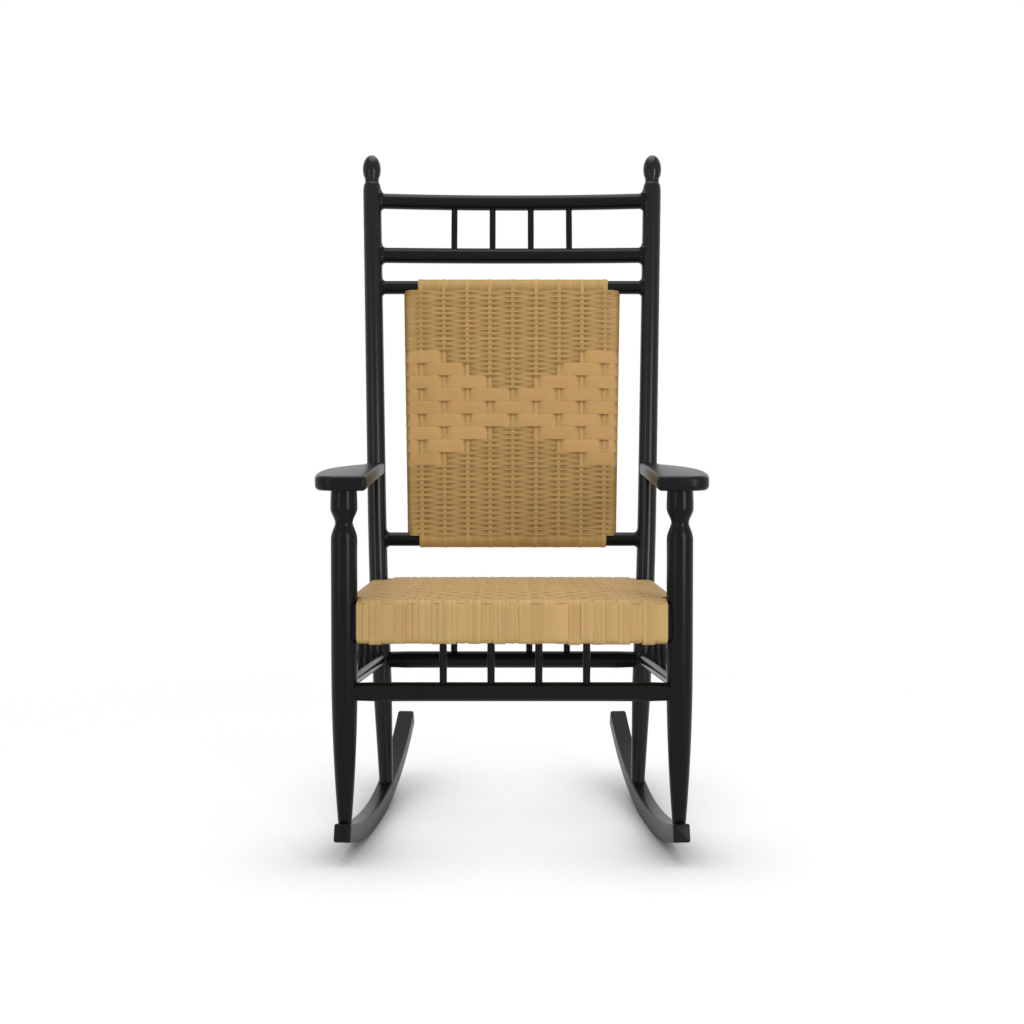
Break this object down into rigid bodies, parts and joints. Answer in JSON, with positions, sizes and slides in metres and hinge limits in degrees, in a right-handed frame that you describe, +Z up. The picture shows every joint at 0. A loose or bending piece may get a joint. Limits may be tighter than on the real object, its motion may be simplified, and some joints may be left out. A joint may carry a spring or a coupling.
{
  "type": "rocking chair",
  "caption": "High-backed wooden rocking chair with a woven back panel and seat, flat arms, turned front legs, spindle rows and curved runners.",
  "frame": {"origin": "on the floor under the middle of the chair's bounding box", "axes": "+Z up, the chair faces -Y, +X to the right as seen from the front"},
  "size_m": [0.653, 0.7333, 1.2248],
  "materials": {
    "black_paint": "satin black paint over turned hardwood",
    "rattan": "woven natural rattan, clear matt",
    "screw_steel": "zinc plated, matt"
  },
  "bodies": {
    "root": {"arm_left": "black_paint", "arm_right": "black_paint", "arm_screw_left": "screw_steel", "arm_screw_right": "screw_steel", "back_weave": "rattan", "crest_rail": "black_paint", "front_leg_left": "black_paint", "front_leg_right": "black_paint", "front_spindle_1": "black_paint", "front_spindle_2": "black_paint", "front_spindle_3": "black_paint", "front_spindle_4": "black_paint", "gallery_rail": "black_paint", "gallery_spindle_1": "black_paint", "gallery_spindle_2": "black_paint", "gallery_spindle_3": "black_paint", "gallery_spindle_4": "black_paint", "left_spindle_1": "black_paint", "left_spindle_2": "black_paint", "left_spindle_3": "black_paint", "left_spindle_4": "black_paint", "panel_bottom_rail": "black_paint", "panel_side_left": "black_paint", "panel_side_right": "black_paint", "panel_top_rail": "black_paint", "rear_post_left": "black_paint", "rear_post_right": "black_paint", "rear_spindle_1": "black_paint", "rear_spindle_2": "black_paint", "rear_spindle_3": "black_paint", "rear_spindle_4": "black_paint", "right_spindle_1": "black_paint", "right_spindle_2": "black_paint", "right_spindle_3": "black_paint", "right_spindle_4": "black_paint", "rocker_left": "black_paint", "rocker_right": "black_paint", "rocker_screw_front_left": "screw_steel", "rocker_screw_front_right": "screw_steel", "rocker_screw_rear_left": "screw_steel", "rocker_screw_rear_right": "screw_steel", "seat_rail_front": "black_paint", "seat_rail_left": "black_paint", "seat_rail_rear": "black_paint", "seat_rail_right": "black_paint", "seat_weave": "rattan", "stretcher_front": "black_paint", "stretcher_left": "black_paint", "stretcher_rear": "black_paint", "stretcher_right": "black_paint"}
  },
  "joints": []
}
